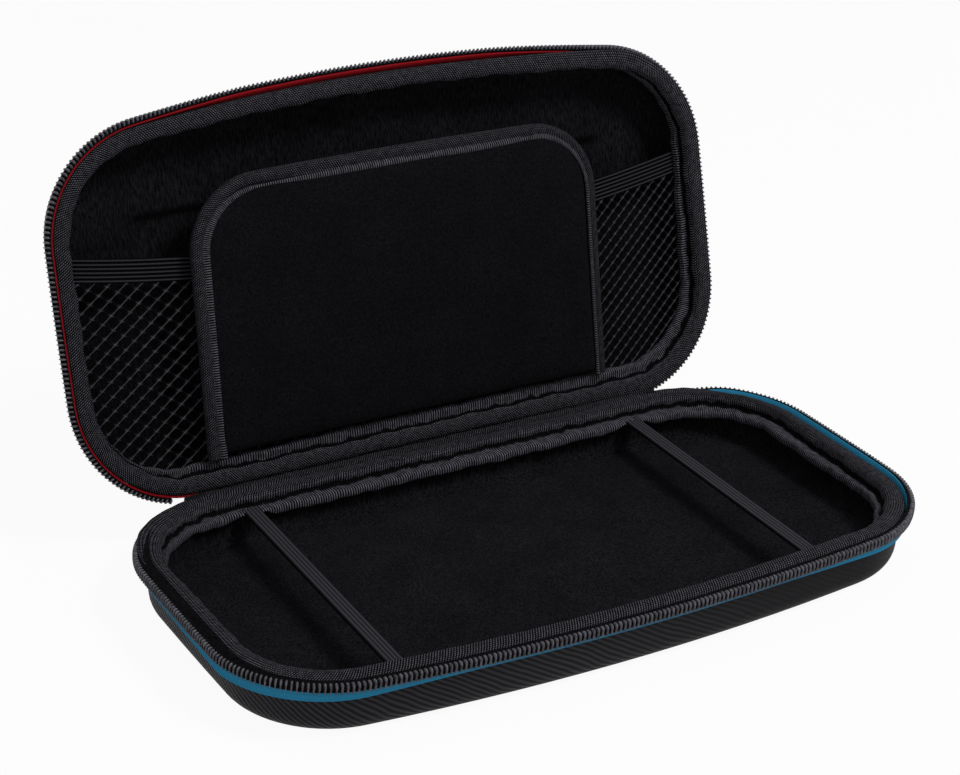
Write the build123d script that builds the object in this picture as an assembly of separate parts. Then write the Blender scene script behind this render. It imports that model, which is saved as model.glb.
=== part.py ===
from build123d import *
from math import asin, cos, degrees, radians, sin
import os

# Portable game console case: a moulded clamshell with a zip round three sides, its lid standing open.
# Frame: origin at the middle of the base's flat foot, X along the case, Y towards the hinge, Z up.
# Until the end, heights are measured from the parting plane, where the two halves meet when shut.

# Outline of the zip line, seen from above
case_length = 260.0
case_width = 132.0
corner_radius = 40.0
front_bow = 10.8
front_set_back = 5.6
side_bow = 0.8

# Moulded halves
base_depth = 22.0
lid_depth = 22.0
base_wall = 4.0
lid_wall = 2.4
rim_inset = 2.0
edge_round = 7.0
wall_taper = 4.0
lining_thickness = 1.0
rim_drop = 6.2
panel_length = 191.0
panel_width = 63.0
panel_round = 14.0
panel_rise = 0.9

# Zip tapes, coils, slider and end stop
tape_thickness = 0.8
tape_below_tips = 1.0
coil_core = 0.9
coil_height = 2.6
tooth_reach = 1.3
tooth_height = 3.9
tooth_width = 0.85
tooth_pitch = 1.66
slider_length = 9.0
slider_nose = 3.6
slider_thickness = 2.8
slider_height = 5.0
lug_thickness = 1.2
lug_height = 2.6
pin_radius = 0.7
pull_eye = 1.5
pull_neck = 3.0
pull_neck_length = 3.6
pull_length = 11.0
pull_width = 5.4
pull_thickness = 1.2
stop_length = 3.5
stop_reach = 2.2

# Woven binding round each rim
binding_width = 9.8
binding_crest = 3.6
binding_shoulder = 3.0
frill_width = 2.6
frill_step = 1.4
frill_hang = 1.8

# Elastic straps across the tray
strap_spacing = 155.0
strap_width = 5.4
strap_thickness = 1.4
strap_drop = 5.2
strap_tuck = 7.6

# Padded flap and mesh pocket in the lid
flap_width = 162.0
flap_height = 97.5
flap_round = 26.0
flap_drop = 0.7
flap_edge = 5.6
flap_edge_round = 1.6
flap_pad = 2.8
flap_proud = 0.6
pad_round = 1.2
mesh_thickness = 0.6
hem_height = 8.6
hem_thickness = 1.8
hem_from_hinge = 88.5
hem_sag = 6.0

# Hinge along the back
hinge_back = 3.0
hinge_below_rim = 0.3
open_angle = 105.0

# Clearances
parting_gap = 0.25
seat = 0.05
fit = 0.3

# Places that follow from the sizes above
half_length = case_length / 2
half_width = case_width / 2
hinge_drop = rim_drop + hinge_below_rim
hinge_y = half_width + hinge_back
binding_out = tape_thickness + seat
binding_in = binding_out + binding_width
binding_low = rim_drop + frill_hang
tooth_mid = -parting_gap - tooth_height / 2
pin_out = slider_thickness + pull_eye + fit
lift = Pos(0, 0, base_depth)
lid_open = Pos(0, hinge_y, -hinge_drop) * Rot(X=-open_angle) * Pos(0, -hinge_y, hinge_drop)


def rim_outline():
    """Plan of the zip line: straight hinge side, bowed front and ends, round corners."""
    corner = front_set_back - half_width
    middle = front_set_back / 2
    back = Line((half_length, half_width), (-half_length, half_width))
    left = ThreePointArc((-half_length, half_width), (-half_length - side_bow, middle), (-half_length, corner))
    front = ThreePointArc((-half_length, corner), (0, corner - front_bow), (half_length, corner))
    right = ThreePointArc((half_length, corner), (half_length + side_bow, middle), (half_length, half_width))
    face = make_face([back, left, front, right])
    return fillet(face.vertices(), corner_radius)


rim = rim_outline()
back_edge = rim.edges().sort_by(Axis.Y)[-1]
rim_path = Wire(rim.edges())
chain_path = Wire(rim.edges().sort_by(Axis.Y)[:-1])
gusset_half = back_edge.length / 2 - 2 * fit
slider_drop = parting_gap + fit + slider_height / 2
slider_place = Pos(-gusset_half - fit - slider_length / 2, half_width + seat, -slider_drop)


def outward(at, along):
    """Level direction square to the rim at a point, pointing out of the case."""
    out = along.cross(Vector(0, 0, 1))
    if out.dot(at) < 0:
        out = -out
    return out


def swept(section, path):
    """Run a section, drawn as distance out of the zip line and height, along a path of the rim."""
    start = path.position_at(0)
    out = outward(start, path.tangent_at(0))
    across = Plane(origin=start, x_dir=out, z_dir=out.cross(Vector(0, 0, 1)))
    return sweep(across * section, path=path)


def block(out_from, out_to, low, high):
    """A rectangular section between two distances out of the zip line and two heights."""
    return Pos((out_from + out_to) / 2, (low + high) / 2) * Rectangle(out_to - out_from, high - low)


def tub(drawn_in, depth):
    """Solid of the moulded form below the rim, drawn in from the outside by a wall thickness."""
    top = offset(rim, amount=-rim_inset - drawn_in)
    deep = depth - drawn_in - rim_drop
    body = extrude(Pos(0, 0, -rim_drop) * top, amount=-deep, taper=wall_taper)
    edge = min(edge_round - drawn_in, 0.85 * deep)
    return fillet(body.edges().group_by(Axis.Z)[0], edge)


def raised_field(depth, drawn_in):
    """Shallow field that stands out from the middle of the lid's moulded face."""
    field = RectangleRounded(panel_length, panel_width, panel_round)
    return extrude(Pos(0, 0, drawn_in - depth - panel_rise) * field, amount=2 * panel_rise)


def layer(depth, outside, inside):
    """One layer of a half, open at the rim, between two thicknesses from the outside."""
    return tub(outside, depth) - tub(inside, depth)


def lid_layer(outside, inside):
    """One layer of the lid, which follows the raised field."""
    outer = tub(outside, lid_depth) + raised_field(lid_depth, outside)
    inner = tub(inside, lid_depth) + raised_field(lid_depth, inside)
    return outer - inner


def binding(wall):
    """Rolled tape over the raw edge: a round bead, then a stitched step down to a narrow frill."""
    top = -parting_gap - seat
    shoulder = top - binding_shoulder
    step_in = -(rim_inset + wall + lining_thickness + fit)
    frill_out = -binding_in + frill_width
    bead = ThreePointArc((-binding_out, shoulder), (-binding_out - binding_crest, top), (frill_out, shoulder))
    rest = Polyline(
        (frill_out, shoulder),
        (frill_out, shoulder - frill_step),
        (-binding_in, shoulder - frill_step),
        (-binding_in, -binding_low),
        (step_in, -binding_low),
        (step_in, -rim_drop + seat),
        (-binding_out, -rim_drop + seat),
        (-binding_out, shoulder),
    )
    return swept(make_face([bead, *rest.edges()]), rim_path)


def zip_tape():
    """Woven tape that stands on the shell's rim and carries the coil."""
    return swept(block(-tape_thickness, 0, -rim_drop + seat, -parting_gap - tape_below_tips), chain_path)


def zip_coil():
    """Core thread with a row of teeth, between the slider and the end stop."""
    slider_end = (slider_length + fit) / chain_path.length
    stop_end = (stop_length + fit) / chain_path.length
    run = chain_path.trim(slider_end, 1 - stop_end)
    core = swept(block(seat, coil_core, tooth_mid - coil_height / 2, tooth_mid + coil_height / 2), run)
    tooth = Box(tooth_reach, tooth_width, tooth_height)
    reach = coil_core + seat / 2 + tooth_reach / 2
    count = int((run.length - tooth_width) / tooth_pitch)
    row = []
    for i in range(count + 1):
        place = (tooth_width / 2 + i * tooth_pitch) / run.length
        at = run.position_at(place)
        out = outward(at, run.tangent_at(place))
        spot = Plane(origin=at + out * reach + Vector(0, 0, tooth_mid), x_dir=out, z_dir=(0, 0, 1))
        row.append(spot * tooth)
    return Compound(children=[core] + row)


def strap(x):
    """Flat elastic from under the front binding to under the back binding."""
    run = offset(rim, amount=-strap_tuck)
    band = extrude(Pos(0, 0, -strap_drop - strap_thickness) * run, amount=strap_thickness)
    return band & Pos(x, 0, -strap_drop) * Box(strap_width, 2 * case_width, 4 * strap_thickness)


def strap_notch(x):
    """Room under the bead where a strap goes in beneath the binding."""
    return Pos(x, 0, -strap_drop + seat - binding_low / 2) * Box(strap_width + fit, 2 * case_width, binding_low)


def flap_outline(inset):
    """Plan of the padded flap, square at its sewn edge and round at its free corners."""
    near = half_width - binding_in - fit
    far = near - flap_height + inset
    side = flap_width / 2 - inset
    face = make_face(Polyline((-side, near), (-side, far), (side, far), (side, near), close=True))
    return fillet(face.vertices().group_by(Axis.Y)[0], flap_round - inset)


def flap_panel():
    """Padding of the flap, inside its bound edge."""
    pad = extrude(Pos(0, 0, flap_drop + flap_proud) * flap_outline(flap_edge + seat), amount=flap_pad)
    return fillet(pad.edges().group_by(Axis.Z)[0], pad_round)


def flap_binding():
    """Rolled tape round the flap's three free edges."""
    ring = flap_outline(0) - flap_outline(flap_edge)
    tape = extrude(Pos(0, 0, flap_drop) * ring, amount=flap_pad + 2 * flap_proud)
    levels = tape.edges().group_by(Axis.Z)
    rims = [e for e in levels[0] + levels[-1] if e.length > 2 * flap_edge]
    return fillet(rims, flap_edge_round)


def pocket_field(drop):
    """The part of the lid's inside that lies on the hinge side of the pocket's sagging mouth."""
    mouth = half_width - hem_from_hinge + drop
    arc = ThreePointArc((-half_length, mouth), (0, mouth + hem_sag), (half_length, mouth))
    right = Line((half_length, mouth), (half_length, case_width))
    back = Line((half_length, case_width), (-half_length, case_width))
    left = Line((-half_length, case_width), (-half_length, mouth))
    inside = offset(rim, amount=-rim_inset - lid_wall - lining_thickness - 3 * fit)
    return make_face([arc, right, back, left]) & inside


def pocket_mesh():
    """Net of the pocket, caught under the binding on three sides."""
    return extrude(Pos(0, 0, binding_low + seat) * pocket_field(hem_height + seat), amount=mesh_thickness)


def pocket_hem():
    """Elastic along the pocket's mouth."""
    band = pocket_field(0) - pocket_field(hem_height)
    return extrude(Pos(0, 0, binding_low + seat) * band, amount=hem_thickness)


def hinge_gusset():
    """Cloth strip that joins the halves along the back, rolled round the hinge line."""
    radius = hinge_back + tape_thickness / 2
    start = 180 - degrees(asin((hinge_below_rim + 2 * seat) / hinge_back))
    end = 180 - open_angle
    turn = Plane.YZ * CenterArc((hinge_y, -hinge_drop), radius, start, end - start)
    heading = Vector(0, cos(radians(end - 90)), sin(radians(end - 90)))
    run = Line(turn @ 1, turn @ 1 + heading * (hinge_drop + rim_drop - seat))
    spine = Wire([turn, run])
    across = Plane(origin=spine @ 0, x_dir=(1, 0, 0), z_dir=spine % 0)
    return sweep(across * Rectangle(2 * gusset_half, tape_thickness), path=spine)


def zip_slider():
    """Slider at the chain's left end, with two lugs and a pin for its pull."""
    wide = slider_height / 2
    plan = make_face(
        Polyline(
            (-slider_length / 2, -wide),
            (slider_length / 6, -wide),
            (slider_length / 2, -slider_nose / 2),
            (slider_length / 2, slider_nose / 2),
            (slider_length / 6, wide),
            (-slider_length / 2, wide),
            close=True,
        )
    )
    plan = fillet(plan.vertices(), pin_radius)
    body = extrude(Plane.XZ * plan, amount=-slider_thickness)
    reach = pin_out + pin_radius + seat
    lug = Box(lug_thickness, reach, lug_height, align=(Align.CENTER, Align.MIN, Align.CENTER))
    lug = fillet(lug.edges().filter_by(Axis.X).group_by(Axis.Y)[-1], lug_height / 3)
    apart = (pull_neck + fit + lug_thickness) / 2
    pin = Pos(0, pin_out, 0) * Rot(Y=90) * Cylinder(pin_radius, 2 * apart)
    return slider_place * (body + Pos(-apart, 0, 0) * lug + Pos(apart, 0, 0) * lug + pin)


def zip_pull():
    """Pull tab that hangs from the slider's pin."""
    eye = Rot(Y=90) * Cylinder(pull_eye, pull_neck)
    neck = Pos(0, 0, -pull_neck_length / 2) * Box(pull_neck, pull_thickness, pull_neck_length)
    tab = Pos(0, -pull_neck_length - pull_length / 2) * RectangleRounded(pull_width, pull_length, pull_width / 3)
    plate = extrude(Plane.XZ * tab, amount=pull_thickness / 2, both=True)
    hole = Rot(Y=90) * Cylinder(pin_radius + fit / 2, 2 * pull_neck)
    return slider_place * Pos(0, pin_out, 0) * (eye + neck + plate - hole)


def zip_end_stop():
    """Clip that closes the chain's right end."""
    clip = Box(stop_length, stop_reach, tooth_height, align=(Align.MIN, Align.MIN, Align.CENTER))
    clip = fillet(clip.edges().filter_by(Axis.Z).group_by(Axis.Y)[-1], stop_reach / 3)
    return Pos(gusset_half + fit, half_width + seat, tooth_mid) * clip


def shut_lid(piece):
    """Turn a base piece over the parting plane, to where its twin in the lid lies when shut."""
    return mirror(piece, about=Plane.XY)


notches = strap_notch(-strap_spacing / 2) + strap_notch(strap_spacing / 2)
base_skin = base_wall + seat
lid_skin = lid_wall + seat
tape = zip_tape()
coil = zip_coil()

# Pieces that stay with the base
base = {
    "base_shell": layer(base_depth, 0, base_wall),
    "base_lining": layer(base_depth, base_skin, base_skin + lining_thickness),
    "base_binding": binding(base_wall) - notches,
    "base_zip_tape": tape,
    "base_zip_coil": coil,
    "strap_left": strap(-strap_spacing / 2),
    "strap_right": strap(strap_spacing / 2),
    "hinge_gusset": hinge_gusset(),
    "zip_slider": zip_slider(),
    "zip_pull": zip_pull(),
    "zip_end_stop": zip_end_stop(),
}

# Pieces that swing with the lid, drawn as they lie when it is shut
lid = {
    "lid_shell": shut_lid(lid_layer(0, lid_wall)),
    "lid_lining": shut_lid(lid_layer(lid_skin, lid_skin + lining_thickness)),
    "lid_binding": shut_lid(binding(lid_wall)),
    "lid_zip_tape": shut_lid(tape),
    "lid_zip_coil": shut_lid(coil),
    "pocket_mesh": pocket_mesh(),
    "pocket_hem": pocket_hem(),
    "flap_panel": flap_panel(),
    "flap_binding": flap_binding(),
}

os.makedirs("parts", exist_ok=True)
for name, piece in base.items():
    export_step(lift * piece, f"parts/{name}.step")
for name, piece in lid.items():
    export_step(lift * lid_open * piece, f"parts/{name}.step")
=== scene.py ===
# %% [markdown]
# # A zipped hard case, standing open
# The moulded halves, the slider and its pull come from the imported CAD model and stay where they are.
# Everything that is sewn is made again here as cloth: bindings, zip chains, linings, elastics, the net
# pocket and the padded flap.

# %% Load the frame
from math import atan2, cos, pi, radians, sin, sqrt, tan

import bpy
import numpy as np
from mathutils import Matrix, Vector
from mathutils.geometry import intersect_sphere_sphere_2d


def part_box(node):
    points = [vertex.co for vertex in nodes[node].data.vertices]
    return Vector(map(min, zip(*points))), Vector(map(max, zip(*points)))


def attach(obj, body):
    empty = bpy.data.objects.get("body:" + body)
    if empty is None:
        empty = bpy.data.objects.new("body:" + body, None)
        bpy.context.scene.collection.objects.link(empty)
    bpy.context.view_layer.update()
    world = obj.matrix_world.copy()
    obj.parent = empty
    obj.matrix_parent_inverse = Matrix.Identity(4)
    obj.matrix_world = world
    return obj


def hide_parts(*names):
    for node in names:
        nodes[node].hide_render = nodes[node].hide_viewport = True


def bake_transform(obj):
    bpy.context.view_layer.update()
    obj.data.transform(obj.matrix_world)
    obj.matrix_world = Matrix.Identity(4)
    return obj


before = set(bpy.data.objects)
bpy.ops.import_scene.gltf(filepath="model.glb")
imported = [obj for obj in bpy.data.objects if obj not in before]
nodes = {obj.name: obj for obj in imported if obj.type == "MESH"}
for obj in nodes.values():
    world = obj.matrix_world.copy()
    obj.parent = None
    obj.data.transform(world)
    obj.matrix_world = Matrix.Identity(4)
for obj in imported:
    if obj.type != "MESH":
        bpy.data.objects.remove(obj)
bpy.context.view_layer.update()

# %% [markdown]
# ## Helpers for modelling
# An operator acts on whatever is selected, so each step starts by clearing the selection. Cloth pieces all
# start as a flat grid, which is laid row by row over the shape that the cloth takes. The same call writes a
# UV map in millimetres, so that a weave can follow the tape round every corner.

# %% Selecting, laying out and closing a piece
MM = 0.001
MERGE = 0.00002


def clear():
    if bpy.context.object and bpy.context.object.mode != "OBJECT":
        bpy.ops.object.mode_set(mode="OBJECT")
    bpy.ops.object.select_all(action="DESELECT")


def pick(piece):
    clear()
    piece.select_set(True)
    bpy.context.view_layer.objects.active = piece


def apply_all(piece):
    pick(piece)
    for modifier in list(piece.modifiers):
        bpy.ops.object.modifier_apply(modifier=modifier.name)


def lay_grid(name, spots, along=None, across=None):
    """Add a flat grid and move its rows of points to their spots, given in millimetres."""
    rows, columns = spots.shape[:2]
    clear()
    bpy.ops.mesh.primitive_grid_add(x_subdivisions=columns - 1, y_subdivisions=rows - 1, size=1)
    piece = bpy.context.object
    piece.name = piece.data.name = name
    piece.data.vertices.foreach_set("co", (spots * MM).astype(np.float32).ravel())
    if along is not None:
        flat = np.dstack(np.broadcast_arrays(along, across)).reshape(-1, 2)
        corners = np.zeros(len(piece.data.loops), np.int32)
        piece.data.loops.foreach_get("vertex_index", corners)
        piece.data.uv_layers[0].name = "cloth"
        piece.data.uv_layers[0].data.foreach_set("uv", flat[corners].astype(np.float32).ravel())
    piece.data.update()
    return piece


def close(piece, ends=False):
    """Merge the seam where a grid meets itself, cap open ends, and point the faces outwards."""
    pick(piece)
    bpy.ops.object.mode_set(mode="EDIT")
    bpy.ops.mesh.select_all(action="SELECT")
    bpy.ops.mesh.remove_doubles(threshold=MERGE)
    if ends:
        bpy.ops.mesh.select_all(action="SELECT")
        bpy.ops.mesh.fill_holes(sides=0)
    bpy.ops.mesh.select_all(action="SELECT")
    bpy.ops.mesh.normals_make_consistent(inside=False)
    bpy.ops.object.mode_set(mode="OBJECT")
    return piece


def drop_faces(piece, unwanted):
    """Delete the faces marked in a list of true and false."""
    pick(piece)
    bpy.ops.object.mode_set(mode="EDIT")
    bpy.ops.mesh.select_mode(type="FACE")
    bpy.ops.mesh.select_all(action="DESELECT")
    bpy.ops.object.mode_set(mode="OBJECT")
    piece.data.polygons.foreach_set("select", unwanted)
    bpy.ops.object.mode_set(mode="EDIT")
    bpy.ops.mesh.delete(type="FACE")
    bpy.ops.mesh.select_mode(type="VERT")
    bpy.ops.object.mode_set(mode="OBJECT")


def thicken(piece, millimetres, offset=-1.0):
    solid = piece.modifiers.new("thickness", "SOLIDIFY")
    solid.thickness = millimetres * MM
    solid.offset = offset
    apply_all(piece)


def finish_piece(piece, material, body, slot, *replaced, angle=45):
    """Smooth the shading, give the material, hang the piece on its body, and hide the parts that it replaces.
    """
    pick(piece)
    bpy.ops.object.shade_smooth_by_angle(angle=radians(angle))
    piece.data.materials.clear()
    piece.data.materials.append(material)
    if body:
        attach(piece, body)
    if replaced:
        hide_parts(*replaced)
    print(piece.name, "has", len(piece.data.polygons), "faces")
    return piece


# %% [markdown]
# ## The line of the zip
# Every sewn edge follows one line: a straight hinge side, slightly bowed front and ends, and round corners.
# It is walked once, from the left end of the hinge round the front and back again. Each stop on the walk
# keeps its place, the level direction out of the case, and how far along the line it is.

# %% Walk the zip line
HALF_LENGTH, HALF_WIDTH, CORNER = 130.0, 66.0, 40.0
FRONT_BOW, FRONT_SET_BACK, SIDE_BOW = 10.8, 5.6, 0.8
PARTING = 22.0


def bow_radius(half_chord, rise):
    return (half_chord**2 + rise**2) / (2 * rise)


side_radius = bow_radius(HALF_WIDTH - FRONT_SET_BACK / 2, SIDE_BOW)
front_radius = bow_radius(HALF_LENGTH, FRONT_BOW)
side_middle = Vector((side_radius - HALF_LENGTH - SIDE_BOW, FRONT_SET_BACK / 2))
front_middle = Vector((0, front_radius - HALF_WIDTH + FRONT_SET_BACK - FRONT_BOW))
back_y = HALF_WIDTH - CORNER
back_x = side_middle.x - sqrt((side_radius - CORNER) ** 2 - (back_y - side_middle.y) ** 2)
back_corner = Vector((back_x, back_y))
crossings = intersect_sphere_sphere_2d(
    side_middle, side_radius - CORNER, front_middle, front_radius - CORNER
)
front_corner = min(crossings, key=lambda p: p.x + p.y)


def heading(to, start):
    return atan2(to.y - start.y, to.x - start.x) % (2 * pi)


def flip(place):
    return Vector((-place.x, place.y))


side_from, side_to = heading(back_corner, side_middle), heading(front_corner, side_middle)
front_from = heading(front_corner, front_middle)
MIRROR = 3 * pi
legs = [
    ("back_left", back_corner, CORNER, pi / 2, side_from, 50),
    ("left", side_middle, side_radius, side_from, side_to, 40),
    ("front_left", front_corner, CORNER, side_to, front_from, 50),
    ("front", front_middle, front_radius, front_from, MIRROR - front_from, 140),
    ("front_right", flip(front_corner), CORNER, MIRROR - front_from, MIRROR - side_to, 50),
    ("right", flip(side_middle), side_radius, MIRROR - side_to, MIRROR - side_from, 40),
    ("back_right", flip(back_corner), CORNER, MIRROR - side_from, 5 * pi / 2, 50),
]
stops, outs, leg_of = [], [], []
for name, centre, radius, start, stop, count in legs:
    for turn in np.linspace(start, stop, count, endpoint=False):
        out = np.array([cos(turn), sin(turn)])
        stops.append(np.array(centre) + radius * out)
        outs.append(out)
        leg_of.append(name)
chain_stops = len(stops) + 1
for x in np.linspace(-back_corner.x, back_corner.x, 141):
    stops.append(np.array([x, HALF_WIDTH]))
    outs.append(np.array([0.0, 1.0]))
    leg_of.append("back")
stops, outs, leg_of = np.array(stops), np.array(outs), np.array(leg_of)
run = np.concatenate([[0], np.cumsum(np.linalg.norm(np.diff(stops, axis=0), axis=1))])
whole, chain_run = run[-1], run[chain_stops - 1]
middle_of = {name: run[leg_of == name].mean() for name in dict.fromkeys(leg_of)}
print("zip line", round(whole, 1), "mm, of which the chain runs", round(chain_run, 1), "mm")


def on_rim(inward, height, columns=slice(None)):
    """Spots on the rim: one row for each line of a section, by its distance inwards and its height."""
    width = len(run[columns])
    inward = np.broadcast_to(np.asarray(inward, float), (len(inward), width))
    height = np.broadcast_to(np.asarray(height, float), (len(height), width))
    level = stops[columns] - inward[..., None] * outs[columns]
    return np.dstack([level, PARTING + height])


def section_run(section):
    """Distance walked round a section, row by row."""
    steps = np.linalg.norm(np.diff(section, axis=0), axis=1)
    return np.concatenate([[0], np.cumsum(steps)])[:, None]


def near(place, extent):
    """A soft bump along the zip line, 1 at a place and 0 beyond its extent."""
    gap = np.abs((run - place + whole / 2) % whole - whole / 2)
    share = np.clip(1 - gap / extent, 0, 1)
    return share**2 * (3 - 2 * share)


def ripple(seed, waves):
    """Uneven hand-sewn waves that meet again where the line closes."""
    draw = np.random.default_rng(seed)
    total = np.zeros(len(run))
    for count, size in waves:
        total += size * np.sin(2 * pi * (count * run / whole + draw.random()))
    return total


# %% [markdown]
# ## Turning a piece into the lid
# The lid's pieces are laid out as they lie when the case is shut, mirrored over the parting plane, and then
# swung about the hinge line to where the lid stands.

# %% The lid's swing
HINGE = Vector((0, 69.0, 15.5)) * MM
OPEN = radians(-105)
swing = Matrix.Translation(HINGE) @ Matrix.Rotation(OPEN, 4, "X") @ Matrix.Translation(-HINGE)
over = Matrix.Translation((0, 0, 2 * PARTING * MM)) @ Matrix.Diagonal((1, 1, -1, 1))


def to_lid(piece, mirrored=True):
    piece.data.transform(swing @ over if mirrored else swing)
    if mirrored:
        piece.data.flip_normals()
    piece.data.update()
    return piece


print("the lid swings about", [round(v * 1000, 1) for v in HINGE])

# %% [markdown]
# ## Shader building blocks
# A weave shows on every tape of the case, so it is one node group that reads the cloth's own UV map. A
# second group makes the brushed pile of the linings. Both give a height for the bump and a tone for the
# colour, and each material chooses its own colours and strength.

# %% Node helpers


def put(tree, kind, inputs=None, **settings):
    """Add a node, set its options, and link or set its inputs."""
    node = tree.nodes.new(kind)
    for key, value in settings.items():
        setattr(node, key, value)
    for key, value in (inputs or {}).items():
        if isinstance(value, bpy.types.NodeSocket):
            tree.links.new(value, node.inputs[key])
        else:
            node.inputs[key].default_value = value
    return node


def sums(tree, operation, first, second=0.0):
    return put(tree, "ShaderNodeMath", {0: first, 1: second}, operation=operation).outputs[0]


def blend_colour(tree, share, dark, light):
    mix = put(tree, "ShaderNodeMix", {0: share, 6: dark, 7: light}, data_type="RGBA")
    return mix.outputs[2]


def spread(tree, value, low, high, to_low, to_high):
    ranged = put(tree, "ShaderNodeMapRange", {0: value, 1: low, 2: high, 3: to_low, 4: to_high})
    return ranged.outputs[0]


def grain(tree, vector, scale, detail=2.0):
    noise = put(tree, "ShaderNodeTexNoise", {"Vector": vector, "Scale": scale, "Detail": detail})
    return noise.outputs[0]


def dot(tree, first, second):
    product = put(tree, "ShaderNodeVectorMath", {0: first, 1: second}, operation="DOT_PRODUCT")
    return product.outputs["Value"]


def wave(tree, turns):
    """A smooth wave from 0 to 1 that repeats with every turn."""
    up_down = sums(tree, "SINE", sums(tree, "MULTIPLY", turns, 2 * pi))
    return sums(tree, "MULTIPLY", sums(tree, "ADD", up_down, 1.0), 0.5)


def ridge(tree, turns):
    """Round ridges side by side, with a sharp valley at every whole turn."""
    return sums(tree, "ABSOLUTE", sums(tree, "SINE", sums(tree, "MULTIPLY", turns, pi)))


def new_group(name, inputs, outputs):
    tree = bpy.data.node_groups.new(name, "ShaderNodeTree")
    for label, kind, value in inputs:
        socket = tree.interface.new_socket(label, in_out="INPUT", socket_type=kind)
        if value is not None:
            socket.default_value = value
    for label in outputs:
        tree.interface.new_socket(label, in_out="OUTPUT", socket_type="NodeSocketFloat")
    return tree, put(tree, "NodeGroupInput"), put(tree, "NodeGroupOutput")


print("node helpers ready")

# %% [markdown]
# The tape is a twill: its ribs run aslant across the tape, and finer rows notch them. Past the sewn edge the
# ribs run straight across, like a ladder. Along the sewn groove, where the stitches pull the tape down, shade
# is painted into the tone as a ragged dark line.

# %% The weave
weave, enter, leave = new_group(
    "tape weave",
    [
        ("Cloth", "NodeSocketVector", None),
        ("Rib pitch", "NodeSocketFloat", 0.95),
        ("Row width", "NodeSocketFloat", 0.7),
        ("Slant", "NodeSocketFloat", 0.7),
        ("Ladder from", "NodeSocketFloat", 1000.0),
        ("Groove", "NodeSocketFloat", 1000.0),
        ("Groove half", "NodeSocketFloat", 1.0),
    ],
    ("Height", "Tone"),
)
split = put(weave, "ShaderNodeSeparateXYZ", {0: enter.outputs["Cloth"]})
along, across = split.outputs[0], split.outputs[1]
aslant = sums(weave, "MINIMUM", across, enter.outputs["Ladder from"])
aslant = sums(weave, "SUBTRACT", along, sums(weave, "MULTIPLY", aslant, enter.outputs["Slant"]))
rib = wave(weave, sums(weave, "DIVIDE", aslant, enter.outputs["Rib pitch"]))
notch = ridge(weave, sums(weave, "DIVIDE", across, enter.outputs["Row width"]))
notch = spread(weave, notch, 0, 1, 0.2, 1.0)
ladder = sums(weave, "GREATER_THAN", across, enter.outputs["Ladder from"])
height = sums(weave, "MULTIPLY", rib, sums(weave, "MAXIMUM", notch, ladder))
uneven = spread(weave, grain(weave, enter.outputs["Cloth"], 0.5, 3.0), 0.3, 0.7, 0.5, 1.25)
# Painted shade: a ragged dark line along the sewn groove, down to 0.04 of the tone in its middle.
ragged = spread(weave, grain(weave, enter.outputs["Cloth"], 0.22, 3.0), 0.3, 0.7, -0.7, 0.7)
depth = sums(weave, "ADD", sums(weave, "SUBTRACT", across, enter.outputs["Groove"]), ragged)
depth = sums(weave, "DIVIDE", sums(weave, "ABSOLUTE", depth), enter.outputs["Groove half"])
painted_groove_shade = spread(weave, depth, 0.6, 1.2, 0.04, 1.0)
tone = sums(weave, "MULTIPLY", sums(weave, "POWER", height, 2.0), uneven)
tone = sums(weave, "MULTIPLY", tone, painted_groove_shade)
weave.links.new(height, leave.inputs["Height"])
weave.links.new(tone, leave.inputs["Tone"])
print("the weave has", len(weave.nodes), "nodes")

# %% [markdown]
# The lining's pile was brushed one way. Noise that is drawn out along that way gives the streaks, and a finer
# noise gives the single hairs.

# %% The pile
pile, enter, leave = new_group(
    "brushed pile",
    [("Place", "NodeSocketVector", None), ("Streak", "NodeSocketFloat", 0.08)],
    ("Height", "Tone"),
)
stretch = put(pile, "ShaderNodeCombineXYZ", {0: 1.0, 1: 1.0, 2: enter.outputs["Streak"]})
drawn = put(
    pile, "ShaderNodeVectorMath", {0: enter.outputs["Place"], 1: stretch.outputs[0]}, operation="MULTIPLY"
)
streaks = spread(pile, grain(pile, drawn.outputs[0], 1700.0, 2.0), 0.36, 0.66, 0.0, 1.0)
nap = spread(pile, grain(pile, enter.outputs["Place"], 2400.0, 2.0), 0.3, 0.7, 0.0, 1.0)
patches = grain(pile, enter.outputs["Place"], 60.0, 3.0)
height = sums(pile, "ADD", sums(pile, "MULTIPLY", streaks, 0.65), sums(pile, "MULTIPLY", nap, 0.35))
tone = sums(pile, "MULTIPLY", height, spread(pile, patches, 0.35, 0.65, 0.82, 1.12))
pile.links.new(height, leave.inputs["Height"])
pile.links.new(tone, leave.inputs["Tone"])
print("groups:", [group.name for group in bpy.data.node_groups])

# %% [markdown]
# ## The finishes
# All the cloth is close to black, so what tells one from another is how it takes the light: the bindings are
# shiny woven nylon, the linings drink the light in, and the elastics are a little greyer. Colours are linear.

# %% Materials


def grey(value, blue=1.17):
    return (value, value * 0.985, value * blue, 1.0)


def new_material(name):
    material = bpy.data.materials.new(name)
    material.use_nodes = True
    tree = material.node_tree
    return material, tree, tree.nodes["Principled BSDF"]


def raise_by(tree, shader, height, millimetres, strength=1.0):
    bump = put(tree, "ShaderNodeBump", {"Height": height, "Distance": millimetres * MM, "Strength": strength})
    tree.links.new(bump.outputs[0], shader.inputs["Normal"])


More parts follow.
